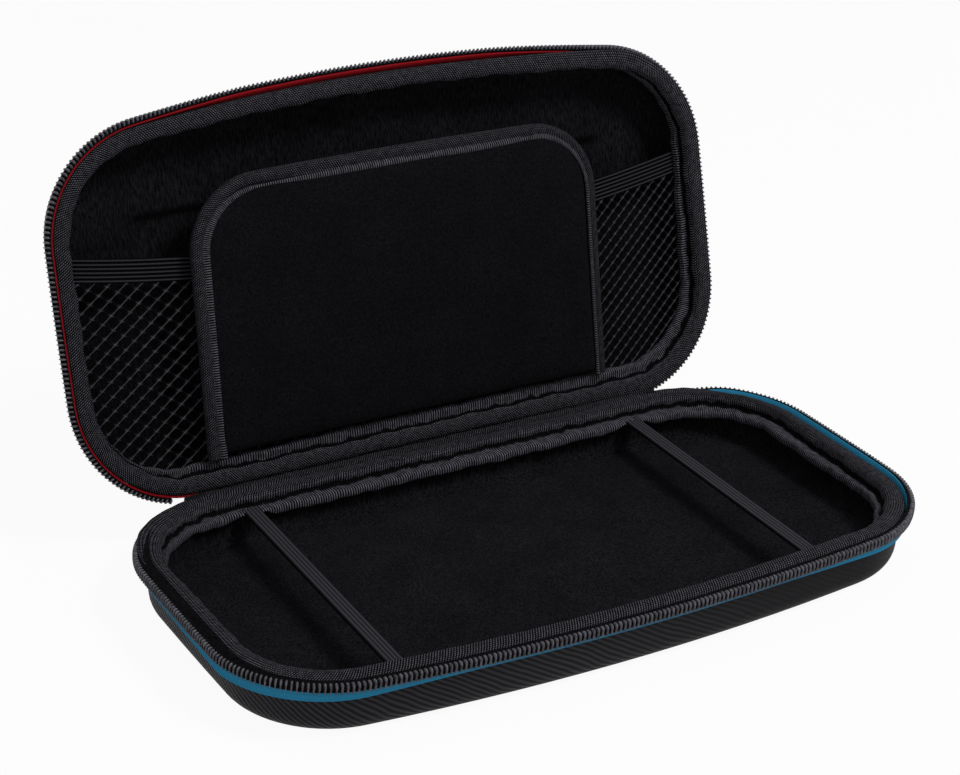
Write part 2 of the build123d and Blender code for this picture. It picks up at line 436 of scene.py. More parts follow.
def woven(name, dark, light, pitch, row, lift, **sewing_and_groove_shade):
    """Woven tape. The ladder past the sewn edge and the painted shade along the sewn groove are given by the
    weave's own input names, with _ for a space.
    """
    material, tree, shader = new_material(name)
    cloth = put(tree, "ShaderNodeUVMap", uv_map="cloth")
    group = put(tree, "ShaderNodeGroup", node_tree=weave)
    tree.links.new(cloth.outputs[0], group.inputs["Cloth"])
    group.inputs["Rib pitch"].default_value = pitch
    group.inputs["Row width"].default_value = row
    for key, value in sewing_and_groove_shade.items():
        group.inputs[key.replace("_", " ")].default_value = value
    tree.links.new(blend_colour(tree, group.outputs["Tone"], dark, light), shader.inputs["Base Color"])
    tree.links.new(spread(tree, group.outputs["Tone"], 0, 1, 0.8, 0.6), shader.inputs["Roughness"])
    shader.inputs["Specular IOR Level"].default_value = 0.02
    raise_by(tree, shader, group.outputs["Height"], lift)
    return material


def brushed(name, dark, light, streak, turn=0.0, pressing_and_painted_shade=None):
    material, tree, shader = new_material(name)
    place = put(tree, "ShaderNodeTexCoord")
    mapped = put(tree, "ShaderNodeMapping", {"Vector": place.outputs["Object"], "Rotation": (turn, 0, 0)})
    group = put(tree, "ShaderNodeGroup", node_tree=pile)
    tree.links.new(mapped.outputs[0], group.inputs["Place"])
    group.inputs["Streak"].default_value = streak
    tone = group.outputs["Tone"]
    # An optional mask of painted shade darkens the pile's tone.
    if pressing_and_painted_shade:
        tone = sums(tree, "MULTIPLY", tone, pressing_and_painted_shade(tree, place.outputs["Object"]))
    tree.links.new(blend_colour(tree, tone, dark, light), shader.inputs["Base Color"])
    tree.links.new(spread(tree, group.outputs["Tone"], 0, 1, 1.0, 0.85), shader.inputs["Roughness"])
    shader.inputs["Specular IOR Level"].default_value = 0.02
    raise_by(tree, shader, group.outputs["Height"], 0.3, 0.8)
    return material


blue_tape = woven("blue zip tape", (0.026, 0.22, 0.39, 1), (0.038, 0.28, 0.48, 1), 0.6, 0.5, 0.03)
red_tape = woven("red zip tape", (0.25, 0.008, 0.012, 1), (0.36, 0.016, 0.022, 1), 0.6, 0.5, 0.03)
base_pile = brushed("tray lining", grey(0.0012), grey(0.019), 0.16)
flap_pile = brushed("flap cloth", grey(0.003), grey(0.0105), 0.6)

FIELD_LENGTH, FIELD_WIDTH, FIELD_ROUND, FIELD_RISE = 191.0, 63.0, 14.0, 0.9


def painted_crease_shade(tree, place):
    """Painted shade along the crease at the two long edges of the lid's raised field, where the mould pressed
    the cloth into the foam; none past the field's ends.
    """
    shut = swing.inverted()
    down = sums(tree, "ABSOLUTE", sums(tree, "ADD", dot(tree, place, shut[1][:3]), shut[1][3]))
    away = sums(tree, "ABSOLUTE", sums(tree, "SUBTRACT", down, FIELD_WIDTH / 2 * MM))
    # Painted shade: the tone drops to 0.12 right at the crease.
    line = spread(tree, away, 0.4 * MM, 2.4 * MM, 0.12, 1.0)
    sideways = sums(tree, "ABSOLUTE", put(tree, "ShaderNodeSeparateXYZ", {0: place}).outputs[0])
    past_end = spread(tree, sideways, (FIELD_LENGTH / 2 - 3) * MM, (FIELD_LENGTH / 2 + 2) * MM, 0.0, 1.0)
    return sums(tree, "MAXIMUM", line, past_end)


# The lid lining gets painted shade along the crease of its raised field.
lid_pile = brushed("lid lining", grey(0.001), grey(0.017), 0.2, -OPEN - pi / 2, painted_crease_shade)
print("cloth materials:", [m.name for m in bpy.data.materials if m.use_nodes][-5:])

# %% [markdown]
# The outside of the case is a thin ribbed cloth pressed onto the foam. The ribs run aslant and fade towards
# one end, where the cloth was stretched smooth in the mould. They are too fine to model, so they are bump.

# %% Outside cloth, coil nylon and metal
RIB_SLANT = (285.0, -285.0, 445.0)
shell_cloth, tree, shader = new_material("ribbed shell cloth")
place = put(tree, "ShaderNodeTexCoord").outputs["Object"]
wobble = sums(tree, "MULTIPLY", grain(tree, place, 55.0, 2.0), 1.6)
turns = sums(tree, "ADD", dot(tree, place, RIB_SLANT), wobble)
rib = sums(tree, "POWER", wave(tree, turns), 1.4)
ends = put(tree, "ShaderNodeSeparateXYZ", {0: place})
# This mask fades the ribs towards one end; it paints no shade.
pressing_and_painted_shade = spread(tree, ends.outputs[0], -0.02, 0.06, 1.0, 0.12)
ribbed = sums(tree, "MULTIPLY", rib, pressing_and_painted_shade)
fine = grain(tree, place, 2400.0, 2.0)
surface = sums(tree, "ADD", ribbed, sums(tree, "MULTIPLY", fine, 0.25))
tone = blend_colour(tree, spread(tree, surface, 0, 1.25, 0, 1), grey(0.0008), grey(0.042))
tree.links.new(tone, shader.inputs["Base Color"])
tree.links.new(spread(tree, fine, 0.3, 0.7, 0.5, 0.68), shader.inputs["Roughness"])
shader.inputs["Specular IOR Level"].default_value = 0.08
raise_by(tree, shader, surface, 0.25, 1.0)


def plain(name, dark, light, scale, rough, lift, gloss, metal=0.0):
    """A small part's finish: fine grain in its colour, gloss and surface."""
    material, tree, shader = new_material(name)
    place = put(tree, "ShaderNodeTexCoord").outputs["Object"]
    speck = spread(tree, grain(tree, place, scale, 3.0), 0.3, 0.7, 0, 1)
    tree.links.new(blend_colour(tree, speck, dark, light), shader.inputs["Base Color"])
    tree.links.new(spread(tree, speck, 0, 1, rough + 0.12, rough), shader.inputs["Roughness"])
    shader.inputs["Specular IOR Level"].default_value = gloss
    shader.inputs["Metallic"].default_value = metal
    raise_by(tree, shader, speck, lift, 0.5)
    return material


coil_nylon = plain("coil nylon", grey(0.03), grey(0.14), 700.0, 0.4, 0.04, 0.25)
core_nylon = plain("core thread", grey(0.001), grey(0.006), 900.0, 0.7, 0.05, 0.02)
black_metal = plain("blackened metal", grey(0.006), grey(0.014), 300.0, 0.42, 0.02, 0.2, 0.5)
for name, material in (
    ("base_shell", shell_cloth),
    ("lid_shell", shell_cloth),
    ("zip_slider", black_metal),
    ("zip_pull", black_metal),
    ("zip_end_stop", black_metal),
):
    for place in nodes[name].material_slots:
        place.material = material
print("shells and metal painted")

# %% [markdown]
# ## Linings
# The lining is a brushed cloth that was pressed into the shell with the foam. Its shape is a tray: a nearly
# upright wall, a round bottom edge and a flat floor. The grid's columns go round the rim and its rows go
# down the wall and in across the floor, where they shrink onto a line down the middle.

# %% Tray and lid linings
RIM_INSET, RIM_DROP, WALL_LEAN = 2.0, 6.2, radians(4)
FOLD = 0.05


def tray_rows(wall, depth, bend):
    """Rows of a lining's inner face: distance in from the zip line, and height below the parting plane."""
    skin = wall + FOLD + 1.0
    deep = depth - skin - RIM_DROP
    top = skin + RIM_INSET
    low = deep - bend
    centre = top + low * tan(WALL_LEAN) + bend / cos(WALL_LEAN)
    rows = [(top + t * tan(WALL_LEAN), -RIM_DROP - t) for t in np.linspace(0.05, low * 0.98, 6)]
    for turn in np.linspace(WALL_LEAN, pi / 2, 9):
        rows.append((centre - bend * cos(turn), -RIM_DROP - low - bend * sin(turn)))
    floor = rows[-1][1]
    rows += [(inset, floor) for inset in np.linspace(centre + 2.0, 37.0, 14)]
    return np.array(rows)


def lining(name, wall, depth, bend, seed):
    rows = tray_rows(wall, depth, bend)
    spots = on_rim(rows[:, :1], rows[:, 1:])
    spots[:, :, 2] += ripple(seed, [(3, 0.12), (7, 0.08), (17, 0.05)]) * np.linspace(0, 1, len(rows))[:, None]
    last = spots[-1]
    seam = last.copy()
    seam[:, 0] = np.clip(seam[:, 0], -86, 86)
    seam[:, 1] = -2.5
    inner = [last + (seam - last) * share for share in np.linspace(0.04, 1, 26)]
    return lay_grid(name, np.concatenate([spots, inner]))


base_lining = lining("base_lining_cloth", 4.0, 22.0, 4.0, 3)
close(base_lining)
thicken(base_lining, 0.9, 1.0)
finish_piece(base_lining, base_pile, "base", "lining_cloth", "base_lining")

lid_lining = lining("lid_lining_cloth", 2.4, 22.0, 5.0, 5)
places = np.array([v.co for v in lid_lining.data.vertices]) / MM
reach = np.abs(places[:, :2]) - [FIELD_LENGTH / 2 - FIELD_ROUND, FIELD_WIDTH / 2 - FIELD_ROUND]
beyond = np.linalg.norm(np.maximum(reach, 0), axis=1) + np.minimum(reach.max(1), 0) - FIELD_ROUND
places[:, 2] -= FIELD_RISE * np.clip(0.5 - beyond / 1.6, 0, 1)
lid_lining.data.vertices.foreach_set("co", (places * MM).astype(np.float32).ravel())
close(lid_lining)
thicken(lid_lining, 0.9, 1.0)
to_lid(lid_lining)
finish_piece(lid_lining, lid_pile, "lid", "lining_cloth", "lid_lining")

# %% [markdown]
# ## Bindings
# A woven tape is rolled over the raw edge of each half. Seen in section it is a round bead, a sewn groove,
# and a loose frill that hangs into the case. A hand-guided machine sewed it, so the frill is wavy, and it
# lifts where a strap goes in under it. In places the bead bulges out over the zip and hides it.

# %% Binding tapes
STRAP_X, STRAP_HALF = 77.5, 2.7
STRAP_SKEW = {-1: (-4.5, -1.5), 1: (-1.5, 0.0)}
BINDING = np.array(
    [
        (0.9, -6.0), (0.88, -2.0), (0.95, -1.3), (1.3, -0.85), (2.2, -0.5), (3.4, -0.35), (4.6, -0.35),
        (5.5, -0.55), (6.2, -0.95), (6.75, -1.6), (7.0, -2.3), (6.85, -3.0), (6.6, -3.8), (6.9, -4.7),
        (7.7, -5.2), (8.6, -5.0), (9.4, -4.75), (10.1, -4.85), (10.55, -5.3), (10.8, -6.0), (10.85, -6.8),
        (10.75, -7.5), (10.45, -7.75), (10.2, -7.4), (10.1, -6.9), (9.7, -6.4), (8.4, -6.1), (4.5, -6.05),
        (0.9, -6.0),
    ]
)
LADDER_ROW, GROOVE_ROW, LIP_ROW, HANG_ROW = 9, 13, 16, 22
BULGE_ROWS = {2: 1.0, 3: 1.0, 4: 0.7, 5: 0.3}
NARROW_ROWS = {5: 0.25, 6: 0.6, 7: 0.85, 15: 0.7, 16: 0.3, 17: 0.1} | {row: 1.0 for row in range(8, 15)}
TUCK_ROWS = {14: 0.2, 15: 0.4, 16: 0.6, 17: 0.8, 26: 0.7} | {row: 1.0 for row in range(18, 26)}
round_tape = section_run(BINDING)[:, 0]
# Groove and Groove half lay the painted shade along the bead's sewn groove.
binding_tape = woven(
    "woven binding", grey(0.0008), grey(0.17), 0.95, 0.7, 0.25,
    Ladder_from=round_tape[LADDER_ROW], Groove=round_tape[GROOVE_ROW], Groove_half=1.2,
)


def strap_middle(side, y):
    """Where a strap crosses: the elastics lie a little askew, more so at the front."""
    return side * STRAP_X + np.interp(y, [-HALF_WIDTH, HALF_WIDTH], STRAP_SKEW[side])


def binding(name, seed, bulge, narrow, tuck, straps):
    rows, columns = len(BINDING), len(run)
    inward = np.repeat(BINDING[:, :1], columns, 1)
    height = np.repeat(BINDING[:, 1:], columns, 1)
    row = np.arange(rows)
    frill = np.clip((row - GROOVE_ROW) / (LIP_ROW - GROOVE_ROW), 0, 1)[:, None]
    frill[row > HANG_ROW + 3] = 0
    bead = np.where((row > 2) & (row < GROOVE_ROW), 1.0, 0.0)[:, None]
    height += frill * ripple(seed, [(9, 0.2), (31, 0.22), (83, 0.14)])
    inward += frill * ripple(seed + 1, [(11, 0.2), (37, 0.2), (71, 0.16)])
    height += bead * ripple(seed + 2, [(9, 0.06), (41, 0.08), (97, 0.06)])
    inner_face = np.where((row > 8) & (row < LIP_ROW), 1, 0)[:, None]
    inward += inner_face * ripple(seed + 3, [(21, 0.22), (58, 0.25)])
    for shift, lines in ((bulge, BULGE_ROWS), (narrow, NARROW_ROWS), (tuck, TUCK_ROWS)):
        for line, share in lines.items():
            inward[line] -= share * shift
    if straps:
        gap = np.min([np.abs(stops[:, 0] - strap_middle(side, stops[:, 1])) for side in (-1, 1)], axis=0)
        lift = np.clip((STRAP_HALF + 7.0 - gap) / 6.0, 0, 1)
        lift = lift * lift * (3 - 2 * lift) * (np.abs(stops[:, 1]) > HALF_WIDTH - 6)
        ceiling = -4.95 + 0.2 * (height + 4.95)
        height = np.where(height < -4.95, height + (ceiling - height) * lift, height)
    return lay_grid(name, on_rim(inward, height), run, section_run(BINDING))


def stretch_of(place, extent):
    """Like near, but it stays at 1 over the middle of the extent."""
    return np.clip(1.7 * near(place, extent), 0, 1)


base_rolled = stretch_of(8, 58) + stretch_of(chain_run, 34)
lid_rolled = stretch_of(middle_of["right"], 165)
base_widened = 1.8 * stretch_of(middle_of["front_left"] + 60, 300)
base_narrow = 2.2 * stretch_of(middle_of["back"] - 20, 230) - base_widened
lid_narrow = 1.2 * stretch_of(middle_of["right"], 130) + 0.8 * stretch_of(middle_of["back"], 150)
base_tuck = 2.6 * stretch_of(middle_of["front_left"] + 40, 230)
lid_tuck = 4.4 * stretch_of(middle_of["front_left"] + 95, 330)
base_binding = close(binding("base_binding_tape", 11, 3.2 * base_rolled, base_narrow, base_tuck, True))
finish_piece(base_binding, binding_tape, "base", "binding_tape", "base_binding")
lid_binding = to_lid(close(binding("lid_binding_tape", 23, 1.8 * lid_rolled, lid_narrow, lid_tuck, False)))
finish_piece(lid_binding, binding_tape, "lid", "binding_tape", "lid_binding")

# %% [markdown]
# ## Zip tapes
# The blue and red tapes stand on the shell's rim and carry the coils. At a corner the tape is stretched
# and its foot shows more, and along the lid's top it leans outwards, so that its red face shows.

# %% Blue and red tapes
chain = slice(0, chain_stops)
TAPE = np.array(
    [
        (0.15, -1.25), (0.0, -1.6), (0.0, -3.4), (0.0, -4.6), (0.02, -5.3), (0.1, -5.75), (0.45, -5.9),
        (0.8, -5.6), (0.8, -3.6), (0.8, -1.6), (0.65, -1.25), (0.15, -1.25),
    ]
)
FOOT_ROWS = (4, 5, 6, 7)


def stand(inward, height, lean, sink, draw_in):
    """Tip a section out about the tape's foot, push its top down and draw it in, stop by stop."""
    foot_in, foot_up = 0.4, -5.4
    y, z = inward - foot_in, height - foot_up
    tip = np.clip(z / 2.0, 0, 1)
    turn = lean * tip
    inward = foot_in + y * np.cos(turn) - z * np.sin(turn) + draw_in
    return inward, foot_up + z * np.cos(turn) + y * np.sin(turn) - sink * tip


def zip_tape(name, droop, flare, pose):
    inward = np.repeat(TAPE[:, :1], chain_stops, 1)
    height = np.repeat(TAPE[:, 1:], chain_stops, 1)
    for row in FOOT_ROWS:
        height[row] -= droop[chain]
        inward[row] -= flare[chain]
    inward, height = stand(inward, height, *(part[chain] for part in pose))
    return lay_grid(name, on_rim(inward, height, chain), run[chain], section_run(TAPE))


droop = 2.2 * near(middle_of["front_left"], 75) + 2.2 * near(middle_of["front_right"], 75)
left_side = stretch_of(middle_of["left"] + 6, 58)
droop = droop + 1.0 * left_side - 0.3
top_stretch = stretch_of(middle_of["front"] - 4, 112)
right_lift = stretch_of(middle_of["right"] + 32, 118) * (1 - stretch_of(chain_run, 34))
base_pose = (0.45 * right_lift, 1.2 * base_rolled - 1.1 * right_lift + 0.4 * left_side, 0 * run)
lid_pose = (0.66 * top_stretch + 0.15 * near(0, 40), 1.3 * lid_rolled, 1.1 * top_stretch + 0.3 * near(0, 40))
base_tape = close(zip_tape("base_zip_tape_cloth", droop, 0.8 * left_side, base_pose), ends=True)
finish_piece(base_tape, blue_tape, "base", "blue_tape", "base_zip_tape")
lid_tape = to_lid(close(zip_tape("lid_zip_tape_cloth", droop, 0 * run, lid_pose), ends=True))
finish_piece(lid_tape, red_tape, "lid", "red_tape", "lid_zip_tape")

# %% [markdown]
# ## Zip coils
# A coil zip's teeth are turns of one stiff nylon thread. One turn is modelled from a sphere, drawn out to a
# bar with a round head and tipped a little, because the thread climbs as it turns. An Array modifier repeats
# it along a straight line, and a Curve modifier bends the row round the case.

# %% One tooth, then two rows of them
TOOTH_PITCH, FIRST_TOOTH, TEETH = 1.66, 9.725, 315
TOOTH_OUT, TOOTH_DEEP, TOOTH_MIDDLE, TOOTH_TALL = 1.15, 1.05, -2.2, 1.95


def rim_curve():
    line = bpy.data.curves.new("zip_line", "CURVE")
    line.dimensions = "3D"
    line.twist_mode = "Z_UP"
    spline = line.splines.new("POLY")
    spline.points.add(chain_stops - 1)
    level = np.zeros((chain_stops, 4))
    level[:, :2] = stops[chain] * MM
    level[:, 3] = 1
    spline.points.foreach_set("co", level.astype(np.float32).ravel())
    curve = bpy.data.objects.new("zip_line", line)
    bpy.context.scene.collection.objects.link(curve)
    return curve


zip_line = rim_curve()


def bend_round(piece):
    """Bend a row that was laid out along X round the zip line."""
    bent = piece.modifiers.new("round the case", "CURVE")
    bent.object = zip_line
    bent.deform_axis = "POS_X"
    apply_all(piece)


def straight_row(piece, first, pitch, count, pose):
    """Repeat a piece along X, tip the row by the tape's lean, and bend it round the case."""
    row = piece.modifiers.new("row", "ARRAY")
    row.use_relative_offset = False
    row.use_constant_offset = True
    row.constant_offset_displace = (pitch * MM, 0, 0)
    row.count = count
    apply_all(piece)
    places = np.array([v.co for v in piece.data.vertices]) / MM
    places[:, 0] += first
    here = [np.interp(places[:, 0], run, part) for part in pose]
    places[:, 1], places[:, 2] = stand(places[:, 1], places[:, 2], *here)
    places[:, 2] += PARTING
    piece.data.vertices.foreach_set("co", (places * MM).astype(np.float32).ravel())
    bend_round(piece)


def zip_coil(name, pose):
    clear()
    bpy.ops.mesh.primitive_uv_sphere_add(segments=8, ring_count=8, radius=1)
    tooth = bpy.context.object
    tooth.name = tooth.data.name = name
    bpy.ops.object.mode_set(mode="EDIT")
    bpy.ops.mesh.select_all(action="SELECT")
    bpy.ops.transform.resize(value=(0.54 * MM, TOOTH_DEEP * MM, TOOTH_TALL * MM))
    bpy.ops.transform.translate(value=(0, -TOOTH_OUT * MM, TOOTH_MIDDLE * MM))
    bpy.ops.object.mode_set(mode="OBJECT")
    for point in tooth.data.vertices:
        share = (point.co.z / MM - TOOTH_MIDDLE) / TOOTH_TALL
        outward = (-point.co.y / MM - TOOTH_OUT) / TOOTH_DEEP
        head = np.clip((share + 0.1) / 0.8, 0, 1)
        point.co.x = point.co.x * (0.6 + 0.45 * head) + (0.2 * share + 0.3 * outward) * MM
        point.co.y = -(TOOTH_OUT + TOOTH_DEEP * np.sign(outward) * abs(outward) ** 0.65) * MM
        point.co.z = (TOOTH_MIDDLE + TOOTH_TALL * np.sign(share) * abs(share) ** 0.7) * MM
    straight_row(tooth, FIRST_TOOTH, TOOTH_PITCH, TEETH, pose)
    return tooth


BEAD_TOP = BINDING[1:7]
CORE = [
    (0.0, -3.7, 0.0), (-0.7, -3.7, 0.2), (-1.1, -3.3, 0.5), (-1.2, -1.6, 0.55), (-0.8, -0.95, 0.3),
    (-0.1, -0.75, 0.0),
]
COVER = [(0.0, 0.12), (0.35, 0.3), (0.7, 0.34), (1.0, 0.3), (1.0, -0.1)]
UNDER = [(0.0, -1.7), (0.0, -3.7)]


def coil_core(name, pose, fill, cover, selvedge):
    """The thread under the teeth. It fills their gaps more or less, and may cover the tape and bead."""
    columns = slice(8, chain_stops - 4)
    width = len(run[columns])
    here = [part[columns] for part in pose]
    rows = [stand(i - more * fill[columns], np.full(width, h), *here) for i, h, more in CORE]
    for share, lift in COVER:
        inward = cover[columns] * (0.9 + share * selvedge[columns])
        top = np.maximum(np.interp(inward, BEAD_TOP[:, 0], BEAD_TOP[:, 1]), -1.0) + lift
        covering = stand(np.zeros(width), np.full(width, -0.8), *here)
        pairs = zip(covering, (inward, top))
        rows.append(tuple(bare + (laid - bare) * cover[columns] for bare, laid in pairs))
    rows += [stand(np.full(width, i), np.full(width, h), *here) for i, h in UNDER]
    inward, height = np.array(rows).transpose(1, 0, 2)
    return close(lay_grid(name, on_rim(inward, height, columns)), ends=True)


covered = (1 - stretch_of(middle_of["right"] + 32, 125)) * (1 - stretch_of(0, 40))
selvedge = 0.3 + 2.2 * stretch_of(middle_of["left"] - 8, 75)
base_coil = zip_coil("base_zip_coil_teeth", base_pose)
finish_piece(base_coil, coil_nylon, "base", "zip_nylon", "base_zip_coil", angle=70)
base_core = coil_core("base_zip_coil_core", base_pose, covered, covered, selvedge)
finish_piece(base_core, core_nylon, "base", "zip_nylon")
lid_coil = to_lid(zip_coil("lid_zip_coil_teeth", lid_pose))
finish_piece(lid_coil, coil_nylon, "lid", "zip_nylon", "lid_zip_coil", angle=70)
lid_core = to_lid(coil_core("lid_zip_coil_core", lid_pose, 1 - 0.6 * lid_rolled, 0 * run, 0 * run))
finish_piece(lid_core, core_nylon, "lid", "zip_nylon")

# %% [markdown]
# ## Elastic straps
# Two flat ribbed elastics cross the tray. Each is a band with four rounded ribs along it, tucked under the
# binding at both ends.

# %% Straps
RIBS = 4


def elastic_band(name, width, ribs, dark, light):
    """Light ribs along a band with dark lines between them, crossed by fine threads."""
    material, tree, shader = new_material(name)
    cloth = put(tree, "ShaderNodeUVMap", uv_map="cloth")
    split = put(tree, "ShaderNodeSeparateXYZ", {0: cloth.outputs[0]})
    share = sums(tree, "ADD", sums(tree, "DIVIDE", split.outputs[1], width), 0.5)
    turns = sums(tree, "MULTIPLY", share, ribs)
    rib = sums(tree, "POWER", ridge(tree, turns), 6.0)
    thread = spread(tree, wave(tree, sums(tree, "DIVIDE", split.outputs[0], 0.7)), 0, 1, 0.65, 1.0)
    tone = sums(tree, "MULTIPLY", rib, thread)
    tree.links.new(blend_colour(tree, tone, dark, light), shader.inputs["Base Color"])
    tree.links.new(spread(tree, tone, 0, 1, 0.8, 0.55), shader.inputs["Roughness"])
    shader.inputs["Specular IOR Level"].default_value = 0.02
    raise_by(tree, shader, thread, 0.08)
    return material


strap_elastic = elastic_band("strap elastic", 2 * STRAP_HALF, RIBS, grey(0.0006), grey(0.056))


def ribbed_rows(width, ribs, depth, steps=6):
    """Rows across a ribbed band: how far across, and how far the ribs stand up."""
    across = np.linspace(-width / 2, width / 2, ribs * steps + 1)
    rib = np.abs(np.sin((across / width + 0.5) * ribs * pi)) ** 0.7
    return across, depth * rib


def strap(name, side, node):
    low, high = (Vector(corner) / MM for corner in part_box(node))
    across, rise = ribbed_rows(high.x - low.x, RIBS, 0.5)
    along = np.linspace(low.y, high.y, 70)
    spots = np.zeros((len(across), len(along), 3))
    spots[:, :, 0] = strap_middle(side, along) + across[:, None]
    spots[:, :, 1] = along
    spots[:, :, 2] = high.z - 0.5 + rise[:, None]
    piece = lay_grid(name, spots, along, across[:, None])
    thicken(piece, 0.8)
    return finish_piece(piece, strap_elastic, "base", "elastic", node)


strap("strap_left_elastic", -1, "strap_left")
strap("strap_right_elastic", 1, "strap_right")

# %% [markdown]
# ## Net pocket
# The pocket is a diamond net. One mesh is laid as three rings, from the round hole out to the middle of the
# threads, and two Array modifiers repeat it. The threads that climb to the right lie on top. The net was
# stretched wide at one end and is slacker at the other, so its rows are drawn out after the repeat.

# %% Net and its elastic hem
HEM_MIDDLE, HEM_SAG, HEM_HEIGHT = -12.2, 12.4, 8.6
POCKET_UP = 8.05


def mouth(x):
    return HEM_MIDDLE - HEM_SAG * (x / HALF_LENGTH) ** 2


NET_HALF_X, NET_HALF_Y = 3.5, 2.54


def zigzag(quarters):
    """From 1 to -1 and back in straight lines, once in four quarters."""
    return np.abs(quarters % 4 - 2) - 1


quarters = np.arange(17) / 4
ring = quarters * pi / 2
corner_x, corner_y = zigzag(quarters), zigzag(quarters - 1)
edge = np.stack([corner_x * NET_HALF_X, corner_y * NET_HALF_Y], 1)
hole = np.stack([np.cos(ring) * 2.05, np.sin(ring) * 1.6], 1)
rising = np.where(corner_x * corner_y <= 0, 1.0, 0.0)
rise = np.stack([np.zeros(17), 0.1 + 0.12 * rising, 0.14 + 0.3 * rising])
cell = np.dstack([np.stack([hole, hole + (edge - hole) * 0.6, edge]), -rise])


def repeat(piece, *offsets):
    for count, step in offsets:
        row = piece.modifiers.new("repeat", "ARRAY")
        row.use_relative_offset = False
        row.use_constant_offset = True
        row.constant_offset_displace = [value * MM for value in step]
        row.count = count
    apply_all(piece)


net = lay_grid("pocket_net", cell, rising, np.array([[0.0], [0.6], [1.0]]))
repeat(net, (2, (NET_HALF_X, NET_HALF_Y, 0)), (44, (2 * NET_HALF_X, 0, 0)), (20, (0, 2 * NET_HALF_Y, 0)))
places = np.array([v.co for v in net.data.vertices]) / MM
sample = np.linspace(0, 44 * 2 * NET_HALF_X, 400)
pitch = np.interp(sample, [0, 80, 200, 320], [1.0, 1.0, 0.72, 0.66])
drawn_x = np.concatenate([[0], np.cumsum((pitch[1:] + pitch[:-1]) / 2 * np.diff(sample))]) - 128
x = np.interp(places[:, 0], sample, drawn_x)
y = 70 - places[:, 1] * np.interp(x, [-60, 70], [1.0, 0.86])
places = np.stack([x, y, POCKET_UP + 0.35 + places[:, 2] + PARTING], 1)
net.data.vertices.foreach_set("co", (places * MM).astype(np.float32).ravel())


def inside(x, y, inset):
    """True where a point lies inside the zip line by at least an inset."""
    gap = np.linalg.norm(stops[None] - np.stack([x, y], 1)[:, None], axis=2)
    closest = gap.argmin(1)
    depth = ((stops[closest] - np.stack([x, y], 1)) * outs[closest]).sum(1)
    return depth > inset


middles = np.array([f.center for f in net.data.polygons]) / MM
keep = inside(middles[:, 0], middles[:, 1], 6.0) & (middles[:, 1] > mouth(middles[:, 0]) + HEM_HEIGHT - 2.5)
drop_faces(net, ~keep)
close(net)
thicken(net, 0.3, 0.0)
to_lid(net, mirrored=False)
net_thread, tree, shader = new_material("net thread")
split = put(tree, "ShaderNodeSeparateXYZ", {0: put(tree, "ShaderNodeUVMap", uv_map="cloth").outputs[0]})
# Painted highlight and shade: only the threads that lie on top turn light, most along their crests; the
# threads beneath stay dark.
painted_thread_light = sums(tree, "MULTIPLY", split.outputs[0], sums(tree, "POWER", split.outputs[1], 5.0))
speck = grain(tree, put(tree, "ShaderNodeTexCoord").outputs["Object"], 900.0, 3.0)
tone = sums(tree, "MULTIPLY", painted_thread_light, spread(tree, speck, 0.3, 0.7, 0.5, 1.1))
tree.links.new(blend_colour(tree, tone, grey(0.0025), grey(0.13)), shader.inputs["Base Color"])
shader.inputs["Roughness"].default_value = 0.7
shader.inputs["Specular IOR Level"].default_value = 0.02
raise_by(tree, shader, speck, 0.05, 0.5)
finish_piece(net, net_thread, "lid", "net", "pocket_mesh", angle=60)
thread_area = sum(face.area for face in net.data.polygons) / 2
print("net threads cover", round(thread_area * 1e4, 1), "square cm")

across, rise = ribbed_rows(HEM_HEIGHT, 6, 0.4, 5)
along = np.linspace(-124.6, 124.6, 120)
spots = np.zeros((len(across), len(along), 3))
spots[:, :, 0] = along
spots[:, :, 1] = mouth(along) + HEM_HEIGHT / 2 + across[:, None]
spots[:, :, 2] = PARTING + POCKET_UP - 0.35 - rise[:, None]
hem = lay_grid("pocket_hem_elastic", spots, along, across[:, None])
hem.data.flip_normals()
thicken(hem, 1.0)
to_lid(hem, mirrored=False)
hem_elastic = elastic_band("hem elastic", HEM_HEIGHT, 6, grey(0.001), grey(0.05))
finish_piece(hem, hem_elastic, "lid", "elastic", "pocket_hem")

# %% [markdown]
# ## Padded flap
# The flap is a thin foam pad in velour, with a woven tape rolled round its three free edges. The pad is
# simulated: its border is held where it is sewn, and a little pressure swells the face between the seams.

# %% Flap pad
FLAP_SIDE, FLAP_NEAR, FLAP_FAR, FLAP_ROUND = 82.2, 55.05, -42.45, 26.0
FLAP_SHIFT_NEAR, FLAP_SHIFT_FAR, FLAP_BOW = -2.0, 2.5, 1.2
PAD_INSET = 3.2


def askew(level):
    """The flap is sewn in a little askew: its far edge sits more to one side, and bows in the middle."""
    x, y = level[..., 0], level[..., 1]
    far = (FLAP_NEAR - y) / (FLAP_NEAR - FLAP_FAR)
    bow = FLAP_BOW * far * np.maximum(1 - (x / FLAP_SIDE) ** 2, 0)
    return np.stack([x + FLAP_SHIFT_NEAR + (FLAP_SHIFT_FAR - FLAP_SHIFT_NEAR) * far, y - bow], -1)


